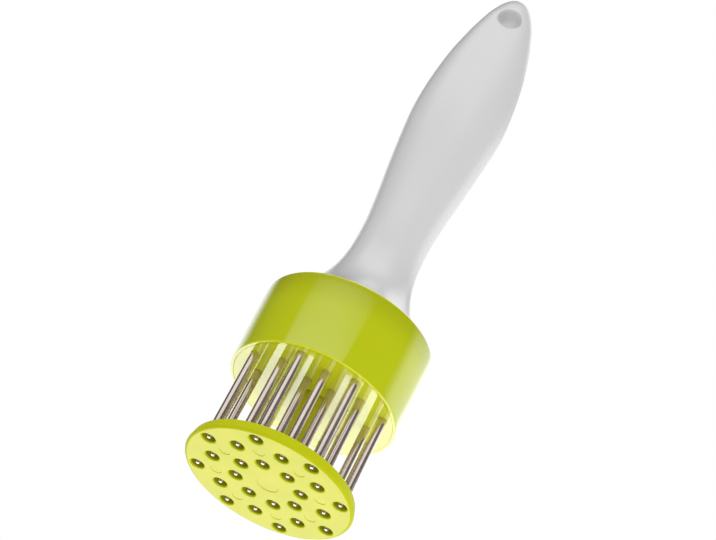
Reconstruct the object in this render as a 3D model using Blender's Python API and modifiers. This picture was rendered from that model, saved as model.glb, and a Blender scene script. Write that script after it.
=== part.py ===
"""Needle meat tenderizer: a hand press whose sprung guard disc slides up a bundle of fixed needles.

Metres, +Z up. The origin is the centre of the guard disc's lower face, on which the tool stands.
The handle's wide faces look along -Y and +Y, and the tool is drawn at rest, with its guard down.
"""

import math

import bmesh
import bpy
from mathutils import Matrix, Vector

# Fits that several pieces share
CLEARANCE = 0.0003
OVERRUN = 0.002
ROUND_STEPS = 48
SMALL_STEPS = 24
SCREW_STEPS = 12
HOLE_STEPS = 12
ARC_STEPS = 3

# Guard disc: its diameter is a step smaller than the head's
DISC_STEP = 0.0002
DISC_THICKNESS = 0.0033
DISC_ROUNDING = 0.0007
MOUTH_MARGIN = 0.00085
MOUTH_DEPTH = 0.0016
SOCKET_FLOOR = 0.0013
GUARD_TRAVEL = 0.0261

# Needles, in rings about the guide post, turned as a whole by some degrees from the handle's width
NEEDLES_PER_RING = 8
RING_RADIUS_SHARES = (0.457, 0.79, 1.0)
RING_TURN_SHARES = (0.5, 0.0, 0.5)
RINGS_TURN = 7.0
NEEDLE_RADIUS = 0.00125
NEEDLE_POINT_LENGTH = 0.0026
NEEDLE_TIP_RADIUS = 0.0004
NEEDLE_TIP_RECESS = 0.0002
NEEDLE_HEAD_STEP = 0.0004
NEEDLE_HEAD_HEIGHT = 0.0008

# Head shell, with the needle plate flush in its lower end
HEAD_RADIUS = 0.0252
HEAD_DRAFT = 0.0006
HEAD_HEIGHT = 0.0252
HEAD_TOP_ROUNDING = 0.0016
HEAD_RIM_CHAMFER = 0.0003
RIM_WIDTH = 0.0011
HEAD_WALL = 0.0020
PLATE_THICKNESS = 0.0033
PLATE_EDGE_WALL = 0.00045
BACKING_THICKNESS = 0.0020
FLOOR_THICKNESS = 0.0025
BOSS_WALL = 0.0029
BOSS_HEIGHT = 0.0060
LIP_THICKNESS = 0.0032
LIP_WIDTH = 0.0050
GROOVE_DEPTH = 0.0006
GROOVE_HEIGHT = 0.0012
GROOVE_DROP = 0.0009

# Guide post, its stop washer and the screw that holds it
POST_RADIUS = 0.0043
WASHER_OVERHANG = 0.0013
WASHER_THICKNESS = 0.0010
POST_SCREW_RADIUS = 0.0015
POST_SCREW_LENGTH = 0.0120
POST_SCREW_HEAD_RADIUS = 0.0028
POST_SCREW_HEAD_HEIGHT = 0.0018

# Return spring
SPRING_LENGTH = 0.0580
SPRING_WIRE_RADIUS = 0.00045
SPRING_TURNS = 13
SPRING_POINTS_PER_TURN = 8

# Clamp screws, between the inner and the outer ring of needles
CLAMP_SCREW_COUNT = 4
CLAMP_SCREW_RADIUS = 0.0011
CLAMP_SCREW_HEAD_RADIUS = 0.0022
CLAMP_SCREW_HEAD_HEIGHT = 0.0015
CLAMP_SCREW_BITE = 0.0022

# Cross recess, as shares of a screw head
RECESS_SPAN_SHARE = 1.2
RECESS_WIDTH_SHARE = 0.3
RECESS_DEPTH_SHARE = 0.5

# Handle: a flattened grip that flares into a round base on the head
HANDLE_LENGTH = 0.1398
HANDLE_HALF_WIDTH = 0.0146
HANDLE_HALF_THICKNESS = 0.0106
BASE_SHOULDER = 0.0038
BASE_LIP_HEIGHT = 0.0008
FLARE_HEIGHT = 0.0370
FLARE_POWER = 3.2
TIP_ROUNDING = 0.0118
SECTION_POWER = 2.05
HANDLE_POINTS = 36
FLARE_STATIONS = 10
GRIP_STATIONS = 11
TIP_STATIONS = 6
SKIRT_DROP = 0.0010
SKIRT_WALL = 0.0022
BORE_MARGIN = 0.0004
HANG_HOLE_RADIUS = 0.0036
HANG_HOLE_ROUNDING = 0.0018
HANG_HOLE_DROP = 0.0117

# Handle outline above its base: height, half width and half thickness, each as a share of the handle's own
HANDLE_OUTLINE_SHARES = (
    (0.000, 0.728, 0.96),
    (0.249, 0.732, 0.97),
    (0.320, 0.778, 0.99),
    (0.464, 0.915, 1.00),
    (0.607, 1.000, 0.93),
    (0.750, 0.905, 0.76),
    (0.857, 0.718, 0.60),
    (0.943, 0.502, 0.47),
    (1.000, 0.427, 0.41),
)

# Places that follow from the sizes above
disc_radius = HEAD_RADIUS - DISC_STEP
head_bottom = DISC_THICKNESS + GUARD_TRAVEL + CLEARANCE
head_top = head_bottom + HEAD_HEIGHT
head_top_radius = HEAD_RADIUS + HEAD_DRAFT
rebate_radius = HEAD_RADIUS - RIM_WIDTH
plate_radius = rebate_radius - CLEARANCE
plate_top = head_bottom + PLATE_THICKNESS
backing_bottom = plate_top + CLEARANCE
backing_top = backing_bottom + BACKING_THICKNESS
floor_bottom = backing_top + CLEARANCE
floor_top = floor_bottom + FLOOR_THICKNESS
boss_top = floor_top + BOSS_HEIGHT
lip_bottom = head_top - LIP_THICKNESS
lip_radius = head_top_radius - LIP_WIDTH

needle_bore_radius = NEEDLE_RADIUS + CLEARANCE
mouth_radius = needle_bore_radius + MOUTH_MARGIN
needle_head_radius = NEEDLE_RADIUS + NEEDLE_HEAD_STEP
head_seat_radius = needle_head_radius + CLEARANCE
head_seat_depth = NEEDLE_HEAD_HEIGHT + CLEARANCE
outer_ring_radius = plate_radius - head_seat_radius - PLATE_EDGE_WALL

guide_bore_radius = POST_RADIUS + CLEARANCE
washer_radius = POST_RADIUS + WASHER_OVERHANG
washer_bottom = boss_top + CLEARANCE
washer_top = washer_bottom + WASHER_THICKNESS
handle_bore_radius = washer_radius + BORE_MARGIN
spring_bottom = washer_top + CLEARANCE
spring_top = spring_bottom + SPRING_LENGTH
handle_bore_top = spring_top + CLEARANCE
spring_radius = washer_radius - BORE_MARGIN - SPRING_WIRE_RADIUS

handle_bottom = head_top + CLEARANCE
handle_top = handle_bottom + HANDLE_LENGTH
handle_base_radius = head_top_radius - BASE_SHOULDER
hang_hole_height = handle_top - HANG_HOLE_DROP

# Colour, roughness and metallic value of each material
FINISHES = {
    "green_plastic": ((0.47, 0.58, 0.01), 0.28, 0.0),
    "white_plastic": ((0.78, 0.78, 0.79), 0.32, 0.0),
    "inner_plastic": ((0.70, 0.70, 0.68), 0.45, 0.0),
    "stainless_steel": ((0.60, 0.57, 0.54), 0.18, 1.0),
    "spring_steel": ((0.45, 0.44, 0.43), 0.30, 1.0),
    "zinc_steel": ((0.62, 0.63, 0.66), 0.30, 1.0),
}


def clear_scene():
    for obj in list(bpy.data.objects):
        bpy.data.objects.remove(obj, do_unlink=True)


def new_collection(name):
    collection = bpy.data.collections.new(name)
    bpy.context.scene.collection.children.link(collection)
    return collection


def principled(name, finish):
    """A Principled material with the colour, roughness and metallic value of a finish."""
    colour, roughness, metallic = FINISHES[finish]
    material = bpy.data.materials.new(name)
    material.use_nodes = True
    shader = material.node_tree.nodes["Principled BSDF"]
    shader.inputs["Base Color"].default_value = (*colour, 1.0)
    shader.inputs["Roughness"].default_value = roughness
    shader.inputs["Metallic"].default_value = metallic
    material.diffuse_color = (*colour, 1.0)
    return material


def add_empty(name, parent=None):
    """An empty at the origin, on the guard's sliding axis, for pieces that move as one."""
    empty = bpy.data.objects.new(name, None)
    parts.objects.link(empty)
    empty.parent = parent
    return empty


def place(obj, parent, finish, height=0.0, across=0.0, turn=0.0):
    """Links a piece to the parts, under its parent, at a height above the table and a place on a ring."""
    parts.objects.link(obj)
    obj.parent = parent
    obj.location = (across * math.cos(turn), across * math.sin(turn), height)
    if not obj.data.materials:
        obj.data.materials.append(principled(obj.name, finish))
    return obj


def shade_round(mesh):
    mesh.shade_smooth()
    mesh.set_sharp_from_angle(angle=math.radians(35))


def mesh_object(name, build):
    """An object whose mesh the function build fills."""
    shape = bmesh.new()
    build(shape)
    mesh = bpy.data.meshes.new(name)
    shape.to_mesh(mesh)
    shape.free()
    shade_round(mesh)
    return bpy.data.objects.new(name, mesh)


def turned(name, profile, steps, closed=False):
    """A profile of (radius, height) points, run down its outer side, turned about Z with a Screw."""
    mesh = bpy.data.meshes.new(name)
    last = len(profile) - 1
    edges = [(i, i + 1) for i in range(last)]
    if closed:
        edges.append((last, 0))
    mesh.from_pydata([(radius, 0, height) for radius, height in profile], edges, [])
    obj = bpy.data.objects.new(name, mesh)
    screw = obj.modifiers.new("turn", "SCREW")
    screw.steps = steps
    screw.render_steps = steps
    screw.use_merge_vertices = True
    screw.merge_threshold = CLEARANCE / 100
    screw.use_smooth_shade = True
    return obj


def arc(radius, height, size, start, end):
    """Points of a rounded corner about (radius, height), its angles in degrees from +X."""
    points = []
    for step in range(ARC_STEPS + 1):
        angle = math.radians(start + (end - start) * step / ARC_STEPS)
        points.append((radius + size * math.cos(angle), height + size * math.sin(angle)))
    return points


def add_cylinder(shape, radius, bottom, top, steps, across=0.0, turn=0.0):
    """Adds a capped cylinder to a mesh, at a place on a ring."""
    centre = Vector((across * math.cos(turn), across * math.sin(turn), (bottom + top) / 2))
    bmesh.ops.create_cone(shape, cap_ends=True, segments=steps, radius1=radius, radius2=radius,
                          depth=top - bottom, matrix=Matrix.Translation(centre))


def cut(obj, cutter):
    """Cuts a cutter out of an object, and keeps the cutter as a wire that no render shows."""
    if cutter.name not in cutters.objects:
        cutters.objects.link(cutter)
        cutter.hide_render = True
        cutter.display_type = "WIRE"
    boolean = obj.modifiers.new(cutter.name, "BOOLEAN")
    boolean.operation = "DIFFERENCE"
    boolean.solver = "EXACT"
    boolean.object = cutter
    return boolean


def needle_places():
    """The (radius, angle) of every needle, ring by ring from the innermost."""
    pitch = math.tau / NEEDLES_PER_RING
    start = math.radians(RINGS_TURN)
    for radius_share, turn_share in zip(RING_RADIUS_SHARES, RING_TURN_SHARES):
        for i in range(NEEDLES_PER_RING):
            yield outer_ring_radius * radius_share, start + pitch * (i + turn_share)


def clamp_places():
    """The (radius, angle) of every clamp screw."""
    inner, _, outer = RING_RADIUS_SHARES
    pitch = math.tau / CLAMP_SCREW_COUNT
    start = math.radians(RINGS_TURN) + RING_TURN_SHARES[0] * math.tau / NEEDLES_PER_RING
    for i in range(CLAMP_SCREW_COUNT):
        yield outer_ring_radius * (inner + outer) / 2, start + pitch * i


def stepped_holes(name, low, step, high, low_radius, high_radius):
    """One cutter for every needle's hole: one radius below the step and another above it."""
    def build(shape):
        for across, turn in needle_places():
            add_cylinder(shape, low_radius, low, step, HOLE_STEPS, across, turn)

    def build_high(shape):
        for across, turn in needle_places():
            add_cylinder(shape, high_radius, step - CLEARANCE / 2, high, HOLE_STEPS, across, turn)

    return mesh_object(name + "_low", build), mesh_object(name + "_high", build_high)


def cross_recess(name, radius, top, depth):
    """A cutter for a screw head's cross: two crossed bars."""
    span = radius * RECESS_SPAN_SHARE
    width = radius * RECESS_WIDTH_SHARE

    def build(shape):
        for length, breadth in ((span, width), (width, span)):
            size = Matrix.Diagonal((length, breadth, depth + OVERRUN, 1))
            centre = Matrix.Translation((0, 0, top + (OVERRUN - depth) / 2))
            bmesh.ops.create_cube(shape, size=1, matrix=centre @ size)

    return mesh_object(name, build)


def screw_profile(radius, length, head_radius, head_height):
    """A pan-head screw with its head's seat at height zero."""
    rounding = head_height / 2
    profile = [(0, head_height)]
    profile += arc(head_radius - rounding, head_height - rounding, rounding, 90, 0)
    profile += [(head_radius, 0), (radius, 0), (radius, radius - length), (0, -length)]
    return profile


def make_screw(name, radius, length, head_radius, head_height, recess):
    obj = turned(name, screw_profile(radius, length, head_radius, head_height), SCREW_STEPS)
    cut(obj, recess).use_self = True
    return obj


def make_guard_disc(parent):
    disc = mesh_object("guard_disc", lambda shape: add_cylinder(
        shape, disc_radius, 0, DISC_THICKNESS, ROUND_STEPS))
    rounding = disc.modifiers.new("rounded_rims", "BEVEL")
    rounding.width = DISC_ROUNDING
    rounding.segments = ARC_STEPS
    rounding.limit_method = "ANGLE"
    rounding.angle_limit = math.radians(60)
    for cutter in stepped_holes("disc_hole", -OVERRUN, MOUTH_DEPTH, DISC_THICKNESS + OVERRUN,
                                mouth_radius, needle_bore_radius):
        cut(disc, cutter)
    cut(disc, mesh_object("post_socket", lambda shape: add_cylinder(
        shape, guide_bore_radius, SOCKET_FLOOR, DISC_THICKNESS + OVERRUN, SMALL_STEPS)))
    place(disc, parent, "green_plastic")


def make_guide_post(parent):
    pilot_radius = POST_SCREW_RADIUS + CLEARANCE
    pilot_bottom = washer_top - POST_SCREW_LENGTH - CLEARANCE
    post_bottom = SOCKET_FLOOR + CLEARANCE
    profile = [(0, pilot_bottom), (pilot_radius, pilot_bottom), (pilot_radius, boss_top),
               (POST_RADIUS, boss_top), (POST_RADIUS, post_bottom), (0, post_bottom)]
    place(turned("guide_post", profile, SMALL_STEPS), parent, "green_plastic")


def make_post_fixings(parent):
    hole_radius = POST_SCREW_RADIUS + CLEARANCE
    ring = [(washer_radius, WASHER_THICKNESS), (washer_radius, 0), (hole_radius, 0),
            (hole_radius, WASHER_THICKNESS)]
    place(turned("stop_washer", ring, SMALL_STEPS, closed=True), parent, "zinc_steel", washer_bottom)
    recess = cross_recess("post_screw_recess", POST_SCREW_HEAD_RADIUS, POST_SCREW_HEAD_HEIGHT,
                          POST_SCREW_HEAD_HEIGHT * RECESS_DEPTH_SHARE)
    recess.location.z = spring_bottom
    place(make_screw("post_screw", POST_SCREW_RADIUS, POST_SCREW_LENGTH, POST_SCREW_HEAD_RADIUS,
                     POST_SCREW_HEAD_HEIGHT, recess), parent, "zinc_steel", spring_bottom)


def spring_points():
    """The wire's centre line, from the washer up to the end of the handle's bore."""
    rise = SPRING_LENGTH - 2 * SPRING_WIRE_RADIUS
    count = SPRING_TURNS * SPRING_POINTS_PER_TURN
    for i in range(count + 1):
        angle = math.tau * i / SPRING_POINTS_PER_TURN
        yield Vector((spring_radius * math.cos(angle), spring_radius * math.sin(angle),
                      SPRING_WIRE_RADIUS + rise * i / count))


def least_gap(points, wire_radius):
    """The smallest clear distance between points of the wire that lie half a turn or more apart."""
    least = math.inf
    for i, first in enumerate(points):
        for other in points[i + SPRING_POINTS_PER_TURN // 2:]:
            least = min(least, (first - other).length)
    return least - 2 * wire_radius


def make_return_spring(parent):
    points = list(spring_points())
    curve = bpy.data.curves.new("return_spring", "CURVE")
    curve.dimensions = "3D"
    curve.bevel_depth = SPRING_WIRE_RADIUS
    curve.bevel_resolution = 1
    curve.use_fill_caps = True
    spline = curve.splines.new("POLY")
    spline.points.add(len(points) - 1)
    for target, point in zip(spline.points, points):
        target.co = (*point, 1)
    place(bpy.data.objects.new("return_spring", curve), parent, "spring_steel", spring_bottom)
    print(f"spring's least gap to itself: {least_gap(points, SPRING_WIRE_RADIUS):.5f} m")


def make_needles(parent):
    """Pointed pins whose flat heads are trapped between the two plates."""
    seat = plate_top - NEEDLE_HEAD_HEIGHT
    tip = NEEDLE_TIP_RECESS - seat
    profile = [(0, NEEDLE_HEAD_HEIGHT), (needle_head_radius, NEEDLE_HEAD_HEIGHT),
               (needle_head_radius, 0), (NEEDLE_RADIUS, 0), (NEEDLE_RADIUS, tip + NEEDLE_POINT_LENGTH),
               (NEEDLE_TIP_RADIUS, tip + NEEDLE_TIP_RADIUS), (0, tip)]
    first = turned("needle_01", profile, HOLE_STEPS)
    for number, (across, turn) in enumerate(needle_places(), start=1):
        needle = first if number == 1 else first.copy()
        needle.name = f"needle_{number:02d}"
        place(needle, parent, "stainless_steel", seat, across, turn)
        needle.rotation_euler.z = turn


def make_needle_plate(parent):
    plate = mesh_object("needle_plate", lambda shape: add_cylinder(
        shape, plate_radius, head_bottom, plate_top, ROUND_STEPS))
    for cutter in stepped_holes("plate_hole", head_bottom - OVERRUN, plate_top - head_seat_depth,
                                plate_top + OVERRUN, needle_bore_radius, head_seat_radius):
        cut(plate, cutter)

    def pilots(shape):
        bottom = plate_top - CLAMP_SCREW_BITE - CLEARANCE
        for across, turn in clamp_places():
            add_cylinder(shape, CLAMP_SCREW_RADIUS + CLEARANCE, bottom, plate_top + OVERRUN,
                         HOLE_STEPS, across, turn)

    cut(plate, mesh_object("clamp_pilots", pilots))
    cut(plate, post_passage)
    place(plate, parent, "green_plastic")


def make_backing_plate(parent):
    plate = mesh_object("backing_plate", lambda shape: add_cylinder(
        shape, plate_radius, backing_bottom, backing_top, ROUND_STEPS))
    cut(plate, clamp_passages)
    cut(plate, post_passage)
    place(plate, parent, "inner_plastic")


def make_head_shell(parent):
    """A cup whose floor clamps the plates below it and guides the post, closed above by the handle."""
    inner_radius = HEAD_RADIUS - HEAD_WALL
    boss_radius = guide_bore_radius + BOSS_WALL
    groove_top = head_top - GROOVE_DROP
    groove_bottom = groove_top - GROOVE_HEIGHT
    groove_radius = lip_radius + GROOVE_DEPTH
    profile = arc(head_top_radius - HEAD_TOP_ROUNDING, head_top - HEAD_TOP_ROUNDING,
                  HEAD_TOP_ROUNDING, 90, 0)
    profile += [
        (HEAD_RADIUS, head_bottom + HEAD_RIM_CHAMFER),
        (HEAD_RADIUS - HEAD_RIM_CHAMFER, head_bottom),
        (rebate_radius, head_bottom),
        (rebate_radius, floor_bottom),
        (guide_bore_radius, floor_bottom),
        (guide_bore_radius, boss_top),
        (boss_radius, boss_top),
        (boss_radius, floor_top),
        (inner_radius, floor_top),
        (inner_radius, lip_bottom),
        (lip_radius, lip_bottom),
        (lip_radius, groove_bottom),
        (groove_radius, groove_bottom),
        (groove_radius, groove_top),
        (lip_radius, groove_top),
        (lip_radius, head_top),
    ]
    shell = turned("head_shell", profile, ROUND_STEPS, closed=True)
    cut(shell, clamp_passages)
    place(shell, parent, "green_plastic")
    shell.rotation_euler.z = math.pi / ROUND_STEPS


def make_clamp_screws(parent):
    seat = floor_top + CLEARANCE
    length = seat - plate_top + CLAMP_SCREW_BITE
    for number, (across, turn) in enumerate(clamp_places(), start=1):
        recess = cross_recess(f"clamp_recess_{number}", CLAMP_SCREW_HEAD_RADIUS,
                              CLAMP_SCREW_HEAD_HEIGHT, CLAMP_SCREW_HEAD_HEIGHT * RECESS_DEPTH_SHARE)
        recess.location = (across * math.cos(turn), across * math.sin(turn), seat)
        screw = make_screw(f"clamp_screw_{number}", CLAMP_SCREW_RADIUS, length,
                           CLAMP_SCREW_HEAD_RADIUS, CLAMP_SCREW_HEAD_HEIGHT, recess)
        place(screw, parent, "zinc_steel", seat, across, turn)


def outline_share(share, column):
    """A column of the handle's outline at a share of its height, on a smooth curve through the table."""
    table = HANDLE_OUTLINE_SHARES
    last = len(table) - 1
    i = 0
    while i < last - 1 and share > table[i + 1][0]:
        i += 1
    low, high = table[i], table[i + 1]
    before, after = table[max(i - 1, 0)], table[min(i + 2, last)]
    span = high[0] - low[0]
    low_slope = (high[column] - before[column]) / (high[0] - before[0])
    high_slope = (after[column] - low[column]) / (after[0] - low[0])
    t = (share - low[0]) / span
    return (low[column] * (2 * t**3 - 3 * t**2 + 1) + high[column] * (3 * t**2 - 2 * t**3)
            + span * (low_slope * (t**3 - 2 * t**2 + t) + high_slope * (t**3 - t**2)))


def handle_section(height):
    """Half width, half thickness and power of the handle's section at a height above its base."""
    share = height / HANDLE_LENGTH
    flare_height = max(height - BASE_LIP_HEIGHT, 0)
    flare = max(1 - flare_height / FLARE_HEIGHT, 0) ** FLARE_POWER
    above = (height - HANDLE_LENGTH + TIP_ROUNDING) / TIP_ROUNDING
    closing = math.sqrt(max(1 - max(above, 0) ** 2, 0))
    sizes = []
    for column, half_size in ((1, HANDLE_HALF_WIDTH), (2, HANDLE_HALF_THICKNESS)):
        grip = half_size * outline_share(share, column)
        foot = half_size * HANDLE_OUTLINE_SHARES[0][column]
        sizes.append((grip + (handle_base_radius - foot) * flare) * closing)
    return sizes[0], sizes[1], 2 + (SECTION_POWER - 2) * (1 - flare)


def handle_heights():
    """Heights above the base: close together in the flare and towards the tip."""
    yield 0
    for i in range(FLARE_STATIONS):
        yield BASE_LIP_HEIGHT + FLARE_HEIGHT * (i / FLARE_STATIONS) ** 2
    grip_start = BASE_LIP_HEIGHT + FLARE_HEIGHT
    grip_end = HANDLE_LENGTH - TIP_ROUNDING
    for i in range(GRIP_STATIONS):
        yield grip_start + (grip_end - grip_start) * i / GRIP_STATIONS
    for i in range(TIP_STATIONS):
        yield grip_end + TIP_ROUNDING * math.sin(math.pi / 2 * i / TIP_STATIONS)


def build_handle_loft(shape):
    """Joins the handle's unlike sections into one closed skin."""
    rings = []
    for height in handle_heights():
        half_width, half_thickness, power = handle_section(height)
        ring = []
        for i in range(HANDLE_POINTS):
            angle = math.tau * i / HANDLE_POINTS
            cosine, sine = math.cos(angle), math.sin(angle)
            ring.append(shape.verts.new((
                math.copysign(half_width * abs(cosine) ** (2 / power), cosine),
                math.copysign(half_thickness * abs(sine) ** (2 / power), sine),
                handle_bottom + height)))
        rings.append(ring)
    for low, high in zip(rings, rings[1:]):
        for i in range(HANDLE_POINTS):
            following = (i + 1) % HANDLE_POINTS
            shape.faces.new((low[i], low[following], high[following], high[i]))
    shape.faces.new(reversed(rings[0]))
    tip = shape.verts.new((0, 0, handle_top))
    for i in range(HANDLE_POINTS):
        shape.faces.new((rings[-1][i], rings[-1][(i + 1) % HANDLE_POINTS], tip))


def make_skirt():
    """The ring below the handle's base that snaps into the shell's lip."""
    outer = lip_radius - CLEARANCE
    bead = outer + GROOVE_DEPTH
    bead_top = head_top - GROOVE_DROP - CLEARANCE
    bead_bottom = bead_top - GROOVE_HEIGHT + 2 * CLEARANCE
    bottom = lip_bottom - SKIRT_DROP
    inner = outer - SKIRT_WALL
    top = handle_bottom + BASE_LIP_HEIGHT
    profile = [(outer, top), (outer, bead_top), (bead, bead_top), (bead, bead_bottom),
               (outer, bead_bottom), (outer, bottom), (inner, bottom), (inner, top)]
    skirt = turned("handle_skirt", profile, ROUND_STEPS, closed=True)
    cutters.objects.link(skirt)
    skirt.hide_render = True
    skirt.display_type = "WIRE"
    return skirt


def hang_hole_cutter():
    """A bore along Y whose two ends flare out, so that the hole's rims are rounded."""
    _, face, _ = handle_section(hang_hole_height - handle_bottom)
    rim = HANG_HOLE_RADIUS + HANG_HOLE_ROUNDING
    start = face - HANG_HOLE_ROUNDING
    upper = [(0, face + OVERRUN), (rim, face + OVERRUN)]
    upper += arc(rim, start, HANG_HOLE_ROUNDING, 90, 180)
    lower = [(radius, -height) for radius, height in reversed(upper)]
    cutter = turned("hang_hole", upper + lower, SMALL_STEPS)
    cutter.location.z = hang_hole_height
    cutter.rotation_euler.x = math.pi / 2
    return cutter


def make_handle(parent):
    handle = mesh_object("handle", build_handle_loft)
    union = handle.modifiers.new("skirt", "BOOLEAN")
    union.operation = "UNION"
    union.solver = "EXACT"
    union.object = make_skirt()
    cut(handle, mesh_object("spring_bore", lambda shape: add_cylinder(
        shape, handle_bore_radius, handle_bottom - OVERRUN, handle_bore_top, SMALL_STEPS)))
    cut(handle, hang_hole_cutter())
    place(handle, parent, "white_plastic")


clear_scene()
parts = new_collection("needle_tenderizer")
cutters = new_collection("cutters")
body = add_empty("body")
guard = add_empty("guard_slide", body)

post_passage = mesh_object("post_passage", lambda shape: add_cylinder(
    shape, guide_bore_radius, head_bottom - OVERRUN, floor_top + OVERRUN, SMALL_STEPS))


def build_clamp_passages(shape):
    for across, turn in clamp_places():
        add_cylinder(shape, CLAMP_SCREW_RADIUS + CLEARANCE, backing_bottom - OVERRUN,
                     floor_top + OVERRUN, HOLE_STEPS, across, turn)


clamp_passages = mesh_object("clamp_passages", build_clamp_passages)

make_guard_disc(guard)
make_guide_post(guard)
make_post_fixings(guard)
make_return_spring(body)
make_needles(body)
make_needle_plate(body)
make_backing_plate(body)
make_head_shell(body)
make_clamp_screws(body)
make_handle(body)
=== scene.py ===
import math

import bmesh
import bpy
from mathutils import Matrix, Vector


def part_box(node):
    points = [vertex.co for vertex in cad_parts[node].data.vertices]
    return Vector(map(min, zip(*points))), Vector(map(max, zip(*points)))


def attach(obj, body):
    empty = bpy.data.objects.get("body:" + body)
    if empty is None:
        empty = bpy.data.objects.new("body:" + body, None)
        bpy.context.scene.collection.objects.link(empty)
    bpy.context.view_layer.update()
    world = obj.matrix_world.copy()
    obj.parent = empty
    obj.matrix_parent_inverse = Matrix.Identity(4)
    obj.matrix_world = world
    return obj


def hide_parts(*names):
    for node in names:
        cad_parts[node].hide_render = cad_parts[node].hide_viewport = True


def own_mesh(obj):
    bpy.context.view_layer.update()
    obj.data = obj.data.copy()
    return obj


# A needle meat tenderizer, dressed round its CAD frame: metres, +Z up, at rest on its guard disc
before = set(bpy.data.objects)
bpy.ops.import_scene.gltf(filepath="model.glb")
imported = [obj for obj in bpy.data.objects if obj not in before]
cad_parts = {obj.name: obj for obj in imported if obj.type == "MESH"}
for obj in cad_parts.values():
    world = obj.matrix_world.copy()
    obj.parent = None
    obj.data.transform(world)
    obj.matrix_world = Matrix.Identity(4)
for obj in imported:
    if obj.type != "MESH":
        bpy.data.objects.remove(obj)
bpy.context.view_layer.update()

# Camera: its focal length in pixels of the photograph, its sensor in millimetres and its angles in degrees
PHOTO_WIDTH = 716
FOCAL_PIXELS = 2066.3
SENSOR_WIDTH = 36.0
CAMERA_PLACE = (0.0630, -0.49585, -0.25441)
CAMERA_TURN = (126.760, -23.127, -8.449)
CAMERA_AZIMUTH = 7.0
CLIP_START = 0.01

# World, in shares of white: an even fill, and a room that mirrored rays see. It turns white where they
# point behind the object, between two cosines of their angle to the camera's heading.
WHITE = (1.0, 1.0, 1.0)
FILL_LEVEL = 0.62
ROOM_LEVEL = 0.05
BEHIND_START = 0.55
BEHIND_FULL = 0.80

# Soft panels round a point near the head: azimuth from the camera's and elevation in degrees, width,
# height, level as a share of white, fades and colour
LIGHT_CENTRE = (0.0, 0.0, 0.04)
LIGHT_DISTANCE = 0.9
NO_FADES = (0, 0, 0, 0)
PANELS = {
    "upper_left_panel": (-28, 22, 1.37, 0.75, 1.0, (0.08, 0.05, 0, 0.5), WHITE),
    "upper_panel": (-28, 64, 1.37, 0.75, 0.75, (0.25, 0.4, 0.3, 0.4), WHITE),
    "right_panel": (122, 33, 1.50, 0.70, 1.05, (0.25, 0, 0.15, 0.5), WHITE),
    "lower_back_panel": (180, -33, 1.20, 0.90, 1.15, NO_FADES, (1.0, 0.98, 0.94)),
    "low_right_panel": (85, -5, 0.75, 0.60, 0.8, (0.3, 0.3, 0.3, 0.3), WHITE),
    "right_below_panel": (100, -38, 0.75, 0.60, 1.3, NO_FADES, WHITE),
    "lower_right_panel": (38, -50, 0.75, 0.60, 1.1, NO_FADES, WHITE),
    "top_panel": (0, 80, 0.80, 0.80, 0.3, (0.4, 0.4, 0.4, 0.4), WHITE),
    "upper_right_panel": (142, 64, 0.85, 0.65, 1.0, (0.5, 0.3, 0.4, 0.4), WHITE),
}

# Floor: it clears with the distance from its middle
FLOOR_HALF_WIDTH = 0.9
FLOOR_DROP = 0.00005
FLOOR_FADE_START = 0.135
FLOOR_FADE_END = 0.81
FLOOR_COLOURS = ((0.84, 0.84, 0.84), (0.85, 0.85, 0.85))
FLOOR_ROUGHNESS = 0.9

# Noise: lumps per metre, levels of detail, and the part of its range that is used
PLASTIC_CLOUDS = 90
GLOSS_CLOUDS = 260
METAL_CLOUDS = 300
FLOOR_CLOUDS = 40
CLOUD_DETAIL = 3
GRAIN_DETAIL = 4
LINE_DETAIL = 5
NOISE_LOW = 0.3
NOISE_HIGH = 0.7

# Finishes: what they don't name here has a value in plastic() or metal()
PLASTIC_IOR = 1.5
PLASTICS = {
    "green": dict(name="lime_plastic", first=(0.545, 0.615, 0.005), second=(0.555, 0.625, 0.006),
                  roughness=(0.10, 0.14)),
    # A lighter copy of the head's green with a glossier coat: painted light on the needle plate, and a
    # painted highlight on the head's rim and top edge
    "plate": dict(name="painted_light_lime_plastic", first=(0.80, 0.86, 0.012), second=(0.82, 0.88, 0.014),
                  roughness=(0.06, 0.09), depth=0.0000003, coat_ior=1.9),
    "guard": dict(name="guard_lime_plastic", first=(0.62, 0.64, 0.013), second=(0.70, 0.69, 0.022),
                  roughness=(0.20, 0.24), coat=0.0, specular=0.4),
    # The disc's side and the lips of its holes: a darker copy of the guard's green as painted shade, with a
    # matte finish
    "side": dict(name="guard_side_painted_shade_plastic", first=(0.55, 0.585, 0.002), second=(0.57, 0.605, 0.003),
                 roughness=(0.45, 0.5), coat=0.0, specular=0.08),
    # The walls of the disc's holes: a darker copy of the guard's green, painted shade inside the holes
    "mouth": dict(name="painted_shade_lime_plastic", first=(0.24, 0.26, 0.005), second=(0.28, 0.30, 0.007),
                  roughness=(0.20, 0.24), coat=0.0),
    "white": dict(name="white_plastic", first=(0.725, 0.725, 0.735), second=(0.735, 0.735, 0.745),
                  roughness=(0.28, 0.32), grain=700, gloss=0.09),
    "bore": dict(name="bore_white_plastic", first=(0.71, 0.71, 0.72), second=(0.72, 0.72, 0.73),
                 roughness=(0.45, 0.5), grain=700, coat=0.0, specular=0.2),
    "inner": dict(name="natural_plastic", first=(0.70, 0.70, 0.67), second=(0.73, 0.73, 0.70),
                  roughness=(0.35, 0.5), grain=500, depth=0.00002),
}
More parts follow.
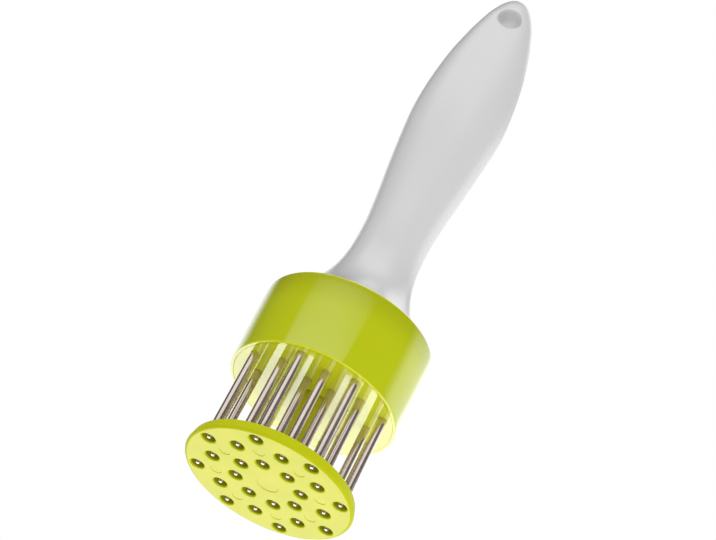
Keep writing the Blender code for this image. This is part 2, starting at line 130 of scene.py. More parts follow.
METALS = {
    "needle": dict(name="polished_needle_steel", first=(0.80, 0.70, 0.63), second=(0.73, 0.63, 0.57),
                   roughness=(0.11, 0.17), grain=4000, depth=0.000001, stretch=(1.0, 1.0, 0.02),
                   metallic=0.86),
    "spring": dict(name="spring_wire", first=(0.45, 0.44, 0.43), second=(0.38, 0.37, 0.36),
                   roughness=(0.28, 0.38), grain=2500),
    "zinc": dict(name="zinc_plate", first=(0.64, 0.65, 0.68), second=(0.58, 0.60, 0.62),
                 roughness=(0.28, 0.40), grain=1800),
}

# Painted shade: the head's green darkens between these heights, towards its top edge
PAINTED_SHADE_START = 0.044
PAINTED_SHADE_FULL = 0.0545
PAINTED_SHADE_GREEN = (0.45, 0.50, 0.004)

# Steps round a turned shape, in its corners and along the head's wall, and the angle in degrees up to which
# two faces are shaded as one
FINE_STEPS = 160
HOLE_STEPS = 32
NEEDLE_STEPS = 32
ARC_STEPS = 6
WALL_STEPS = 12
SMOOTH_ANGLE = 32.0

# Clearance between pieces, and how far a cutting shape runs past what it cuts
CLEARANCE = 0.0003
OVERRUN = 0.002

# Guard disc: its side leans inward towards the needles, and its face has shallow round moulding marks. The
# painted shade in its holes stops a margin below its back.
DISC_FACE_ROUNDING = 0.0008
DISC_BACK_ROUNDING = 0.0006
DISC_LEAN = 0.0005
BACK_MARGIN = 0.00014
MARK_RADIUS = 0.0017
MARK_RING = 0.0156
MARK_DEPTH = 0.00014
MARK_SLOPE = 0.00016
CENTRE_MARK_RADIUS = 0.0033

# The disc's holes: a bore for the needle opens into a wide mouth, whose wall bends once before its lip
NEEDLE_BORE = 0.00152
MOUTH_RADIUS = 0.00242
MOUTH_LIP = 0.0004
MOUTH_DEPTH = 0.0016
MOUTH_BEND_STEP = 0.00024
MOUTH_BEND_HEIGHT = 0.00112

# Needles, in rings: a blunt cone with a slightly domed end, which bends at a share of its radius
RINGS = 3
NEEDLES_PER_RING = 8
POINT_HALF_ANGLE = 30.0
TIP_RADIUS = 0.00045
TIP_DOME = 0.00005
TIP_BEND = 0.6
NEEDLE_HEAD_STEP = 0.0004
NEEDLE_HEAD_HEIGHT = 0.0008
NEEDLE_SLACK = 0.00003

# Needle plate: it reaches past its solid's edge into the rim, so that no gap shows
PLATE_REACH = 0.00039

# Head: its wall leans outward from the rim and grows upright towards the top edge. Both edges get the
# lighter green as a painted highlight, the rim up to a height and the top rounding from a height above its
# start.
RIM_ROUNDING = 0.00035
RIM_HIGHLIGHT_HEIGHT = 0.000245
TOP_ROUNDING = 0.0009
TOP_HIGHLIGHT_START = 0.00018
WALL_DRAFT = 0.0006
HEAD_WALL = 0.0020
FLOOR_THICKNESS = 0.0025
BOSS_RADIUS = 0.0075
BOSS_HEIGHT = 0.0060

# The head's lip, and the handle's skirt, which snaps into the groove in the lip
LIP_WIDTH = 0.0050
LIP_HEIGHT = 0.0032
GROOVE_DEPTH = 0.0006
GROOVE_DROP = 0.0009
GROOVE_HEIGHT = 0.0012
SKIRT_WALL = 0.0022
SKIRT_DROP = 0.0010

# Handle outline above its base: height, half width and half thickness, each as a share of the handle's own
HANDLE_OUTLINE_SHARES = (
    (0.000, 0.728, 0.96),
    (0.249, 0.732, 0.97),
    (0.320, 0.778, 0.99),
    (0.464, 0.915, 1.00),
    (0.607, 1.000, 0.93),
    (0.750, 0.905, 0.76),
    (0.857, 0.718, 0.60),
    (0.943, 0.502, 0.47),
    (1.000, 0.427, 0.41),
)
HANDLE_HALF_WIDTH = 0.0146
HANDLE_HALF_THICKNESS = 0.0106

# The handle's section is a little fuller than an ellipse, and its tip is rounded. Towards the base it flares
# out to a circle, which stands upright for the height of a lip.
ELLIPSE_POWER = 2
SECTION_POWER = 2.05
BASE_LIP_HEIGHT = 0.0008
FLARE_HEIGHT = 0.0370
FLARE_POWER = 3.2
TIP_ROUNDING = 0.0118

# Points round the handle, stations up it, and the share of these that rise in even steps
HANDLE_POINTS = 96
HANDLE_STATIONS = 120
EVEN_SHARE = 0.6

# The handle's hanging hole, whose finish runs a little way up its rounding, and its bore for the spring
HANG_HOLE_RADIUS = 0.0036
HANG_HOLE_ROUNDING = 0.0018
HANG_HOLE_DROP = 0.0117
HANG_HOLE_STEPS = 64
HANG_HOLE_FINISH = 0.00054
BORE_MARGIN = 0.0004

# Screws that hold the plates
CLAMP_SCREWS = 4

# Return spring
SPRING_WIRE_RADIUS = 0.00045
SPRING_WIRE_STEPS = 12
SPRING_TURNS = 13
SPRING_TURN_STEPS = 28


def node_material(name):
    """A new material, with its node tree and its Principled shader."""
    material = bpy.data.materials.new(name)
    material.use_nodes = True
    tree = material.node_tree
    return material, tree, tree.nodes["Principled BSDF"]


def math_node(tree, operation, *values):
    """The result of a Math node whose inputs are sockets or numbers."""
    node = tree.nodes.new("ShaderNodeMath")
    node.operation = operation
    for socket, value in zip(node.inputs, values):
        if isinstance(value, (int, float)):
            socket.default_value = value
        else:
            tree.links.new(value, socket)
    return node.outputs[0]


def map_range(tree, value, start, end, low=0.0, high=1.0, curve="SMOOTHSTEP"):
    """Goes from low to high while the value goes from start to end."""
    node = tree.nodes.new("ShaderNodeMapRange")
    node.interpolation_type = curve
    node.inputs["From Min"].default_value = start
    node.inputs["From Max"].default_value = end
    node.inputs["To Min"].default_value = low
    node.inputs["To Max"].default_value = high
    tree.links.new(value, node.inputs["Value"])
    return node.outputs["Result"]


def noise(tree, scale, detail=CLOUD_DETAIL, stretch=(1.0, 1.0, 1.0)):
    """Noise in the object's own space, in lumps per metre."""
    place = tree.nodes.new("ShaderNodeTexCoord")
    mapping = tree.nodes.new("ShaderNodeMapping")
    mapping.inputs["Scale"].default_value = stretch
    texture = tree.nodes.new("ShaderNodeTexNoise")
    texture.inputs["Scale"].default_value = scale
    texture.inputs["Detail"].default_value = detail
    tree.links.new(place.outputs["Object"], mapping.inputs["Vector"])
    tree.links.new(mapping.outputs["Vector"], texture.inputs["Vector"])
    return texture.outputs["Fac"]


def spread(tree, value, low, high):
    """Maps noise to a range of values."""
    return map_range(tree, value, NOISE_LOW, NOISE_HIGH, low, high, "LINEAR")


def vary_colour(tree, shader, scale, first, second):
    """Clouds of two close colours, in lumps per metre."""
    mix = tree.nodes.new("ShaderNodeMix")
    mix.data_type = "RGBA"
    mix.inputs["A"].default_value = (*first, 1.0)
    mix.inputs["B"].default_value = (*second, 1.0)
    tree.links.new(spread(tree, noise(tree, scale), 0, 1), mix.inputs["Factor"])
    tree.links.new(mix.outputs["Result"], shader.inputs["Base Color"])


def paint_shade_between(tree, shader, low, high, colour):
    """Paints shade: takes the colour over to a darker one between two heights."""
    place = tree.nodes.new("ShaderNodeTexCoord")
    parts = tree.nodes.new("ShaderNodeSeparateXYZ")
    tree.links.new(place.outputs["Object"], parts.inputs["Vector"])
    socket = shader.inputs["Base Color"]
    mix = tree.nodes.new("ShaderNodeMix")
    mix.data_type = "RGBA"
    mix.inputs["B"].default_value = (*colour, 1.0)
    tree.links.new(socket.links[0].from_socket, mix.inputs["A"])
    tree.links.new(map_range(tree, parts.outputs["Z"], low, high), mix.inputs["Factor"])
    tree.links.new(mix.outputs["Result"], socket)


def add_bump(tree, shader, value, depth):
    bump = tree.nodes.new("ShaderNodeBump")
    bump.inputs["Strength"].default_value = 1.0
    bump.inputs["Distance"].default_value = depth
    tree.links.new(value, bump.inputs["Height"])
    tree.links.new(bump.outputs["Normal"], shader.inputs["Normal"])


def plastic(name, first, second, roughness, grain=900, depth=0.000001, coat=1.0, coat_ior=1.5, gloss=0.04,
            specular=0.5):
    """Moulded plastic: faint clouds in its colour, a fine skin grain and small changes in its gloss."""
    material, tree, shader = node_material(name)
    vary_colour(tree, shader, PLASTIC_CLOUDS, first, second)
    tree.links.new(spread(tree, noise(tree, GLOSS_CLOUDS), *roughness), shader.inputs["Roughness"])
    add_bump(tree, shader, noise(tree, grain, GRAIN_DETAIL), depth)
    shader.inputs["IOR"].default_value = PLASTIC_IOR
    shader.inputs["Specular IOR Level"].default_value = specular
    shader.inputs["Coat Weight"].default_value = coat
    shader.inputs["Coat IOR"].default_value = coat_ior
    shader.inputs["Coat Roughness"].default_value = gloss
    return material


def metal(name, first, second, roughness, grain, depth=0.00001, stretch=(1.0, 1.0, 1.0), metallic=1.0):
    """Metal with fine drawn lines, which the stretch of the noise lays along the piece."""
    material, tree, shader = node_material(name)
    shader.inputs["Metallic"].default_value = metallic
    vary_colour(tree, shader, METAL_CLOUDS, first, second)
    lines = noise(tree, grain, LINE_DETAIL, stretch)
    tree.links.new(spread(tree, lines, *roughness), shader.inputs["Roughness"])
    add_bump(tree, shader, lines, depth)
    return material


def make_materials():
    materials = {key: plastic(**values) for key, values in PLASTICS.items()}
    materials.update({key: metal(**values) for key, values in METALS.items()})
    green = materials["green"].node_tree
    # Painted shade on the head's green towards its top edge
    paint_shade_between(green, green.nodes["Principled BSDF"], PAINTED_SHADE_START, PAINTED_SHADE_FULL, PAINTED_SHADE_GREEN)
    return materials


def arc(radius, height, size, start, end):
    """Points of a rounded corner about (radius, height), its angles in degrees from +X."""
    points = []
    for step in range(ARC_STEPS + 1):
        angle = math.radians(start + (end - start) * step / ARC_STEPS)
        points.append((radius + size * math.cos(angle), height + size * math.sin(angle)))
    return points


def circle(shape, radius, height, steps):
    """A ring of new points about the Z axis."""
    ring = []
    for i in range(steps):
        angle = math.tau * i / steps
        ring.append(shape.verts.new((radius * math.cos(angle), radius * math.sin(angle), height)))
    return ring


def bridge(shape, lower, upper):
    """Faces between two rings of as many points."""
    for i in range(len(lower)):
        j = (i + 1) % len(lower)
        shape.faces.new((lower[i], lower[j], upper[j], upper[i]))


def shade(mesh):
    """Smooth shading, with sharp edges where faces meet at a wider angle."""
    mesh.shade_smooth()
    mesh.set_sharp_from_angle(angle=math.radians(SMOOTH_ANGLE))


def from_bmesh(name, shape):
    """A new object in the scene, which takes over the shape."""
    mesh = bpy.data.meshes.new(name)
    shape.to_mesh(mesh)
    shape.free()
    shade(mesh)
    obj = bpy.data.objects.new(name, mesh)
    bpy.context.scene.collection.objects.link(obj)
    return obj


def lathe(name, profile, steps, closed=False):
    """A mesh turned from a profile of (radius, height) points that runs down its outer side.

    A closed profile stays off the axis and goes on from its last point to its first.
    """
    shape = bmesh.new()
    rings = []
    for radius, height in profile:
        if radius == 0:
            rings.append([shape.verts.new((0, 0, height))] * steps)
        else:
            rings.append(circle(shape, radius, height, steps))
    pairs = list(zip(rings, rings[1:]))
    if closed:
        pairs.append((rings[-1], rings[0]))
    for upper, lower in pairs:
        for i in range(steps):
            j = (i + 1) % steps
            corners = dict.fromkeys((upper[i], lower[i], lower[j], upper[j]))
            shape.faces.new(list(corners))
    return from_bmesh(name, shape)


def joined(name, pieces):
    """One mesh object that holds copies of several, and the pieces themselves are removed."""
    shape = bmesh.new()
    for piece in pieces:
        before = len(shape.verts)
        shape.from_mesh(piece.data)
        shape.verts.ensure_lookup_table()
        moved = shape.verts[before:]
        bmesh.ops.transform(shape, matrix=piece.matrix_basis, verts=moved)
        bpy.data.objects.remove(piece)
    return from_bmesh(name, shape)


def cut(obj, other):
    """Takes the other object's shape away from this one for good, and removes the other."""
    modifier = obj.modifiers.new("cut", "BOOLEAN")
    modifier.operation = "DIFFERENCE"
    modifier.solver = "EXACT"
    modifier.object = other
    bpy.context.view_layer.update()
    graph = bpy.context.evaluated_depsgraph_get()
    mesh = bpy.data.meshes.new_from_object(obj.evaluated_get(graph))
    obj.modifiers.clear()
    obj.data = mesh
    shade(mesh)
    weighted = obj.modifiers.new("flat_faces", "WEIGHTED_NORMAL")
    weighted.keep_sharp = True
    bpy.data.objects.remove(other)


def dress(obj, body, material, slot, *nodes):
    """Gives a piece its finish, its body and the CAD nodes that it stands for."""
    obj.data.materials.clear()
    obj.data.materials.append(material)
    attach(obj, body)
    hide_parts(*nodes)


def add_finish(obj, material):
    """Adds one more finish to a piece, and gives its number for the faces that get it."""
    obj.data.materials.append(material)
    return len(obj.data.materials) - 1


def centre_of(node):
    low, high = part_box(node)
    return (low + high) / 2


def needle_places():
    """The axis of each needle, read from the frame."""
    for number in range(1, RINGS * NEEDLES_PER_RING + 1):
        yield centre_of(f"needle_{number:02d}")


def at(piece, place):
    """Moves a piece to a place in plan."""
    piece.location = (place[0], place[1], 0)
    return piece


def mouth_outline(low, high):
    """One of the disc's holes, as a profile to cut between these heights."""
    wall = MOUTH_RADIUS - MOUTH_LIP
    outline = [(0, high + OVERRUN), (NEEDLE_BORE, high + OVERRUN), (NEEDLE_BORE, low + MOUTH_DEPTH),
               (wall - MOUTH_BEND_STEP, low + MOUTH_BEND_HEIGHT)]
    outline += arc(MOUTH_RADIUS, low + MOUTH_LIP, MOUTH_LIP, 180, 270)
    outline += [(MOUTH_RADIUS, low - OVERRUN), (0, low - OVERRUN)]
    return outline


def make_mark(face, radius):
    """A shallow round mark to cut from the face at this height."""
    profile = [(0, face + MARK_DEPTH), (radius - MARK_SLOPE, face + MARK_DEPTH), (radius, face),
               (radius, face - OVERRUN), (0, face - OVERRUN)]
    return lathe("mark", profile, HOLE_STEPS)


def make_guard_disc(materials):
    """The disc, whose marks stand between the needles of the middle ring, and one in its centre."""
    low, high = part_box("guard_disc")
    radius = (high.x - low.x) / 2
    face_edge = radius - DISC_FACE_ROUNDING
    back_edge = radius - DISC_LEAN - DISC_BACK_ROUNDING
    profile = [(0, high.z), (radius / 2, high.z)]
    profile += arc(back_edge, high.z - DISC_BACK_ROUNDING, DISC_BACK_ROUNDING, 90, 0)
    profile += arc(face_edge, low.z + DISC_FACE_ROUNDING, DISC_FACE_ROUNDING, 0, -90)
    profile += [(radius / 2, low.z), (0, low.z)]
    disc = lathe("guard_disc_dressed", profile, FINE_STEPS)
    places = list(needle_places())
    hole = mouth_outline(low.z, high.z)
    cuts = [at(lathe("mouth", hole, HOLE_STEPS), place) for place in places]
    first = centre_of(f"needle_{NEEDLES_PER_RING + 1:02d}")
    for number in range(NEEDLES_PER_RING):
        angle = math.atan2(first.y, first.x) + math.tau / NEEDLES_PER_RING * (number + 0.5)
        place = (MARK_RING * math.cos(angle), MARK_RING * math.sin(angle))
        cuts.append(at(make_mark(low.z, MARK_RADIUS), place))
    cuts.append(make_mark(low.z, CENTRE_MARK_RADIUS))
    cut(disc, joined("cuts", cuts))
    dress(disc, "guard", materials["guard"], "green_plastic", "guard_disc")
    mouth = add_finish(disc, materials["mouth"])
    side = add_finish(disc, materials["side"])
    for face in disc.data.polygons:
        depth = face.center.z - low.z
        in_hole = any((face.center.xy - place.xy).length < MOUTH_RADIUS for place in places)
        # The side and the hole lips get the side's darker green, painted shade
        if face.center.xy.length > face_edge or in_hole and 0 < depth <= MOUTH_LIP:
            face.material_index = side
        # Hole walls below the lip get the darker green, painted shade
        elif in_hole and MOUTH_LIP < depth < high.z - low.z - BACK_MARGIN:
            face.material_index = mouth


def make_needles(materials):
    for number, place in enumerate(needle_places(), start=1):
        node = f"needle_{number:02d}"
        low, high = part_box(node)
        head = (high.x - low.x) / 2
        radius = head - NEEDLE_HEAD_STEP
        seat = high.z - NEEDLE_HEAD_HEIGHT
        dome = low.z + TIP_DOME
        cone = (radius - TIP_RADIUS) / math.tan(math.radians(POINT_HALF_ANGLE))
        profile = [(0, high.z), (head, high.z), (head, seat), (radius, seat), (radius, dome + cone),
                   (TIP_RADIUS, dome), (TIP_RADIUS * TIP_BEND, low.z + TIP_DOME * TIP_BEND**2), (0, low.z)]
        needle = at(lathe(node + "_polished", profile, NEEDLE_STEPS), place)
        dress(needle, "tool", materials["needle"], "stainless_steel", node)


def make_needle_plate(materials):
    low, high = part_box("needle_plate")
    radius = (high.x - low.x) / 2 + PLATE_REACH
    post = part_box("guide_post")[1].x + CLEARANCE
    outline = [(post, high.z), (radius, high.z), (radius, low.z), (post, low.z)]
    plate = lathe("needle_plate_dressed", outline, FINE_STEPS, closed=True)
    needle_low, needle_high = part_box("needle_01")
    head = (needle_high.x - needle_low.x) / 2
    socket = head + CLEARANCE
    bore = head - NEEDLE_HEAD_STEP + NEEDLE_SLACK
    seat = high.z - NEEDLE_HEAD_HEIGHT - CLEARANCE
    top = high.z + OVERRUN
    bottom = low.z - OVERRUN
    hole = [(0, top), (socket, top), (socket, seat), (bore, seat), (bore, bottom), (0, bottom)]
    holes = [at(lathe("hole", hole, HOLE_STEPS), place) for place in needle_places()]
    cut(plate, joined("holes", holes))
    # The needle plate gets the lighter green, painted light
    dress(plate, "tool", materials["plate"], "green_plastic", "needle_plate")


def make_head_shell(materials):
    """The head in one profile: wall, rim, rebate for both plates, floor with the post's boss, and lip."""
    low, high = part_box("head_shell")
    top_radius = (high.x - low.x) / 2
    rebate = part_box("needle_plate")[1].x + CLEARANCE
    inner = top_radius - WALL_DRAFT - HEAD_WALL
    lip = top_radius - LIP_WIDTH
    lip_bottom = high.z - LIP_HEIGHT
    groove = lip + GROOVE_DEPTH
    groove_top = high.z - GROOVE_DROP
    groove_bottom = groove_top - GROOVE_HEIGHT
    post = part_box("guide_post")[1].x + CLEARANCE
    floor_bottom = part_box("backing_plate")[1].z + CLEARANCE
    floor_top = floor_bottom + FLOOR_THICKNESS
    boss_top = floor_top + BOSS_HEIGHT
    edge = high.z - TOP_ROUNDING
    wall = edge - low.z - RIM_ROUNDING
    profile = arc(top_radius - TOP_ROUNDING, edge, TOP_ROUNDING, 90, 0)
    for step in range(1, WALL_STEPS):
        share = step / WALL_STEPS
        profile.append((top_radius - WALL_DRAFT * share**2, edge - wall * share))
    profile += arc(top_radius - WALL_DRAFT - RIM_ROUNDING, low.z + RIM_ROUNDING, RIM_ROUNDING, 0, -90)
    profile += [(rebate, low.z), (rebate, floor_bottom), (post, floor_bottom), (post, boss_top),
                (BOSS_RADIUS, boss_top), (BOSS_RADIUS, floor_top), (inner, floor_top), (inner, lip_bottom),
                (lip, lip_bottom), (lip, groove_bottom), (groove, groove_bottom), (groove, groove_top),
                (lip, groove_top), (lip, high.z)]
    shell = lathe("head_shell_dressed", profile, FINE_STEPS, closed=True)
    dress(shell, "tool", materials["green"], "green_plastic", "head_shell")
    painted_highlight = add_finish(shell, materials["plate"])
    # The rim and the top rounding get the lighter green as a painted highlight
    for face in shell.data.polygons:
        height = face.center.z
        on_rim = height < low.z + RIM_HIGHLIGHT_HEIGHT
        outer = face.center.xy.length > top_radius - TOP_ROUNDING
        if on_rim or outer and height > edge + TOP_HIGHLIGHT_START:
            face.material_index = painted_highlight


def outline_share(share, column):
    """A column of the handle's outline at a share of its height, on a smooth curve through the table."""
    table = HANDLE_OUTLINE_SHARES
    last = len(table) - 1
    i = 0
    while i < last - 1 and share > table[i + 1][0]:
        i += 1
    low, high = table[i], table[i + 1]
    before, after = table[max(i - 1, 0)], table[min(i + 2, last)]
    span = high[0] - low[0]
    low_slope = (high[column] - before[column]) / (high[0] - before[0])
    high_slope = (after[column] - low[column]) / (after[0] - low[0])
    t = (share - low[0]) / span
    return (low[column] * (2 * t**3 - 3 * t**2 + 1) + high[column] * (3 * t**2 - 2 * t**3)
            + span * (low_slope * (t**3 - 2 * t**2 + t) + high_slope * (t**3 - t**2)))


def handle_section(height, length, base_radius):
    """Half width, half thickness and power of the handle's section at a height above its base."""
    flare = max(1 - max(height - BASE_LIP_HEIGHT, 0) / FLARE_HEIGHT, 0) ** FLARE_POWER
    above = (height - length + TIP_ROUNDING) / TIP_ROUNDING
    closing = math.sqrt(max(1 - max(above, 0) ** 2, 0))
    sizes = []
    for column, half_size in ((1, HANDLE_HALF_WIDTH), (2, HANDLE_HALF_THICKNESS)):
        grip = half_size * outline_share(height / length, column)
        foot = half_size * HANDLE_OUTLINE_SHARES[0][column]
        sizes.append((grip + (base_radius - foot) * flare) * closing)
    power = ELLIPSE_POWER + (SECTION_POWER - ELLIPSE_POWER) * (1 - flare)
    return sizes[0], sizes[1], power


def section_ring(shape, half_width, half_thickness, power, height):
    """A ring of new points on an outline that is fuller than an ellipse where its power is above 2."""
    ring = []
    for i in range(HANDLE_POINTS):
        angle = math.tau * i / HANDLE_POINTS
        cosine, sine = math.cos(angle), math.sin(angle)
        x = math.copysign(half_width * abs(cosine) ** (2 / power), cosine)
        y = math.copysign(half_thickness * abs(sine) ** (2 / power), sine)
        ring.append(shape.verts.new((x, y, height)))
    return ring


def station_height(share, length):
    """A station's height above the handle's base, in even steps that get closer towards the tip."""
    even = min(share / EVEN_SHARE, 1)
    return length * even * math.sin(math.pi / 2 * max(share, EVEN_SHARE))


def skirt_outline(head, base):
    """The ring below the handle's base, from its inside out, with a bead for the groove in the lip."""
    outer = head.x - LIP_WIDTH - CLEARANCE
    inner = outer - SKIRT_WALL
    bead = outer + GROOVE_DEPTH
    bead_top = head.z - GROOVE_DROP - CLEARANCE
    bead_bottom = bead_top - GROOVE_HEIGHT + 2 * CLEARANCE
    bottom = head.z - LIP_HEIGHT - SKIRT_DROP
    return [(inner, base), (inner, bottom), (outer, bottom), (outer, bead_bottom), (bead, bead_bottom),
            (bead, bead_top), (outer, bead_top), (outer, base)]


def make_handle_body(head, base, top, base_radius):
    """The handle without its holes, from the inside of its skirt to its tip."""
    length = top - base
    shape = bmesh.new()
    rings = [circle(shape, radius, height, HANDLE_POINTS) for radius, height in skirt_outline(head, base)]
    for station in range(HANDLE_STATIONS + 1):
        height = station_height(station / (HANDLE_STATIONS + 1), length)
        section = handle_section(height, length, base_radius)
        rings.append(section_ring(shape, *section, base + height))
    for lower, upper in zip(rings, rings[1:]):
        bridge(shape, lower, upper)
    shape.faces.new(list(reversed(rings[0])))
    last = rings[-1]
    tip = shape.verts.new((0, 0, top))
    for i in range(HANDLE_POINTS):
        shape.faces.new((last[i], last[(i + 1) % HANDLE_POINTS], tip))
    return from_bmesh("handle_dressed", shape)


def make_hang_hole(half_thickness, height):
    """The hanging hole to cut at this height, rounded where it meets the handle's two faces."""
    rim = HANG_HOLE_RADIUS + HANG_HOLE_ROUNDING
    upper = [(0, half_thickness + OVERRUN), (rim, half_thickness + OVERRUN)]
    upper += arc(rim, half_thickness - HANG_HOLE_ROUNDING, HANG_HOLE_ROUNDING, 90, 180)
    lower = [(radius, -depth) for radius, depth in reversed(upper)]
    hole = lathe("hang_hole", upper + lower, HANG_HOLE_STEPS)
    hole.location.z = height
    hole.rotation_euler.x = math.pi / 2
    return hole


def make_spring_bore(base):
    """The bore to cut for the spring and the post, up from the handle's base."""
    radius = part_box("stop_washer")[1].x + BORE_MARGIN
    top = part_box("return_spring")[1].z + CLEARANCE
    profile = [(0, top), (radius, top), (radius, base - OVERRUN), (0, base - OVERRUN)]
    return lathe("spring_bore", profile, HOLE_STEPS)


def make_handle(materials):
    low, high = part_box("handle")
    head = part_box("head_shell")[1]
    base = head.z + CLEARANCE
    base_radius = (high.x - low.x) / 2
    handle = make_handle_body(head, base, high.z, base_radius)
    hole_height = high.z - HANG_HOLE_DROP
    _, half_thickness, _ = handle_section(hole_height - base, high.z - base, base_radius)
    hole = make_hang_hole(half_thickness, hole_height)
    cut(handle, joined("handle_cuts", [hole, make_spring_bore(base)]))
    dress(handle, "tool", materials["white"], "white_plastic", "handle")
    bore = add_finish(handle, materials["bore"])
    centre = Vector((0, hole_height))
    for face in handle.data.polygons:
        if (face.center.xz - centre).length < HANG_HOLE_RADIUS + HANG_HOLE_FINISH:
            face.material_index = bore


def make_spring(materials):
    """The return spring at its rest length: a coil with closed ends. In the tool it shortens as the guard
    slides up.
    """
    low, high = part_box("return_spring")
    radius = (high.x - low.x) / 2 - SPRING_WIRE_RADIUS
    bottom = low.z + SPRING_WIRE_RADIUS
    height = high.z - low.z - 2 * SPRING_WIRE_RADIUS
    closed = 2 * SPRING_WIRE_RADIUS / height
    shape = bmesh.new()
    rings = []
    for step in range(SPRING_TURNS * SPRING_TURN_STEPS + 1):
        turn = step / SPRING_TURN_STEPS
        angle = math.tau * turn
        if turn < 1:
            share = closed * turn
        elif turn > SPRING_TURNS - 1:
            share = 1 - closed * (SPRING_TURNS - turn)
        else:
            share = closed + (1 - 2 * closed) * (turn - 1) / (SPRING_TURNS - 2)
        outward = Vector((math.cos(angle), math.sin(angle), 0))
        centre = outward * radius + Vector((0, 0, bottom + height * share))
        ring = []
        for i in range(SPRING_WIRE_STEPS):
            around = math.tau * i / SPRING_WIRE_STEPS
            offset = outward * math.cos(around) + Vector((0, 0, math.sin(around)))
            ring.append(shape.verts.new(centre + SPRING_WIRE_RADIUS * offset))
        rings.append(ring)
    for first, second in zip(rings, rings[1:]):
        bridge(shape, first, second)
    shape.faces.new(list(reversed(rings[0])))
    shape.faces.new(rings[-1])
    bmesh.ops.recalc_face_normals(shape, faces=shape.faces)
    spring = from_bmesh("return_spring_coil", shape)
    dress(spring, "tool", materials["spring"], "spring_steel", "return_spring")
    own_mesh(spring)


def keep_nodes(materials):
    """Nodes whose solid shape is right keep it, with a finer finish."""
    kept = {"guide_post": "guard", "stop_washer": "zinc", "post_screw": "zinc", "backing_plate": "inner"}
    kept.update({f"clamp_screw_{number}": "zinc" for number in range(1, CLAMP_SCREWS + 1)})
    for node, material in kept.items():
        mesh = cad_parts[node].data
        mesh.materials.clear()
        mesh.materials.append(materials[material])


def make_floor():
    """A pale floor seen from above only, so that the camera below it sees the object's lower face."""
    shape = bmesh.new()
    bmesh.ops.create_grid(shape, x_segments=1, y_segments=1, size=FLOOR_HALF_WIDTH)
    floor = from_bmesh("floor", shape)
    floor.location.z = -FLOOR_DROP
    material, tree, shader = node_material("pale_floor")
    vary_colour(tree, shader, FLOOR_CLOUDS, *FLOOR_COLOURS)
    shader.inputs["Roughness"].default_value = FLOOR_ROUGHNESS
    place = tree.nodes.new("ShaderNodeTexCoord")
    distance = tree.nodes.new("ShaderNodeVectorMath")
    distance.operation = "LENGTH"
    tree.links.new(place.outputs["Object"], distance.inputs[0])
    fade = map_range(tree, distance.outputs["Value"], FLOOR_FADE_START, FLOOR_FADE_END)
    below = tree.nodes.new("ShaderNodeNewGeometry").outputs["Backfacing"]
    clear = tree.nodes.new("ShaderNodeBsdfTransparent")
    mix = tree.nodes.new("ShaderNodeMixShader")
    tree.links.new(math_node(tree, "MAXIMUM", below, fade), mix.inputs["Fac"])
    tree.links.new(shader.outputs["BSDF"], mix.inputs[1])
    tree.links.new(clear.outputs["BSDF"], mix.inputs[2])
    tree.links.new(mix.outputs["Shader"], tree.nodes["Material Output"].inputs["Surface"])
    floor.data.materials.append(material)
    floor.visible_diffuse = False
    floor.visible_glossy = False
    floor.visible_transmission = False
    floor.visible_shadow = False


def make_camera():
    data = bpy.data.cameras.new("photo_camera")
    data.sensor_width = SENSOR_WIDTH
    data.lens = FOCAL_PIXELS / PHOTO_WIDTH * SENSOR_WIDTH
    data.clip_start = CLIP_START
    camera = bpy.data.objects.new("photo_camera", data)
    camera.location = CAMERA_PLACE
    camera.rotation_euler = [math.radians(angle) for angle in CAMERA_TURN]
    bpy.context.scene.collection.objects.link(camera)
    bpy.context.scene.camera = camera


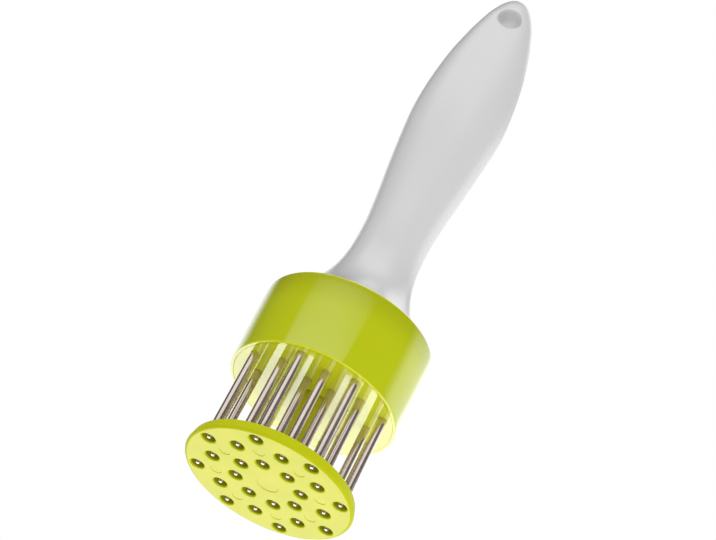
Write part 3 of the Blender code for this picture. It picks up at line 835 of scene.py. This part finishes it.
def make_world():
    """White behind the object, to the camera and in reflections, in a darker room with an even fill."""
    world = bpy.data.worlds.new("studio")
    world.use_nodes = True
    tree = world.node_tree
    path = tree.nodes.new("ShaderNodeLightPath")
    seen = path.outputs["Is Camera Ray"]
    glossy, through = path.outputs["Is Glossy Ray"], path.outputs["Is Transmission Ray"]
    mirrored = math_node(tree, "MAXIMUM", glossy, through)
    azimuth = math.radians(CAMERA_AZIMUTH)
    facing = tree.nodes.new("ShaderNodeVectorMath")
    facing.operation = "DOT_PRODUCT"
    facing.inputs[1].default_value = (-math.sin(azimuth), math.cos(azimuth), 0)
    tree.links.new(tree.nodes.new("ShaderNodeTexCoord").outputs["Generated"], facing.inputs[0])
    behind = map_range(tree, facing.outputs["Value"], BEHIND_START, BEHIND_FULL, low=ROOM_LEVEL)
    shown = math_node(tree, "MAXIMUM", seen, math_node(tree, "MULTIPLY", mirrored, behind))
    neither = math_node(tree, "SUBTRACT", 1.0, math_node(tree, "MAXIMUM", mirrored, seen))
    fill = math_node(tree, "MULTIPLY", neither, FILL_LEVEL)
    background = tree.nodes["Background"]
    background.inputs["Color"].default_value = (*WHITE, 1.0)
    tree.links.new(math_node(tree, "ADD", shown, fill), background.inputs["Strength"])
    bpy.context.scene.world = world


def add_softbox(name, azimuth, elevation, width, height, level, fades, colour):
    """A soft panel that faces the head, its azimuth counted from the camera's and 90 to its right.

    The fades are the shares of its width, then of its height, over which it dims towards the first and the
    last edge.
    """
    azimuth, elevation = math.radians(azimuth + CAMERA_AZIMUTH), math.radians(elevation)
    across = math.cos(elevation)
    away = Vector((math.sin(azimuth) * across, -math.cos(azimuth) * across, math.sin(elevation)))
    data = bpy.data.lights.new(name, "AREA")
    data.shape = "RECTANGLE"
    data.size = width
    data.size_y = height
    data.energy = level * math.pi * width * height
    data.color = colour
    lamp = bpy.data.objects.new(name, data)
    lamp.location = Vector(LIGHT_CENTRE) + away * LIGHT_DISTANCE
    lamp.rotation_euler = away.to_track_quat("Z", "Y").to_euler()
    lamp.visible_camera = False
    bpy.context.scene.collection.objects.link(lamp)
    data.use_nodes = True
    tree = data.node_tree
    place = tree.nodes.new("ShaderNodeSeparateXYZ")
    tree.links.new(tree.nodes.new("ShaderNodeNewGeometry").outputs["Parametric"], place.inputs["Vector"])
    strength = 1.0
    for number, fade in enumerate(fades):
        if fade:
            edge = number % 2
            ramp = map_range(tree, place.outputs["XY"[number // 2]], edge, abs(edge - fade))
            strength = math_node(tree, "MULTIPLY", strength, ramp)
            tree.links.new(strength, tree.nodes["Emission"].inputs["Strength"])


def main():
    materials = make_materials()
    make_camera()
    make_world()
    make_guard_disc(materials)
    make_needles(materials)
    make_needle_plate(materials)
    make_head_shell(materials)
    make_handle(materials)
    make_spring(materials)
    keep_nodes(materials)
    make_floor()
    for name, values in PANELS.items():
        add_softbox(name, *values)
    bpy.context.scene.view_settings.view_transform = "Standard"


main()
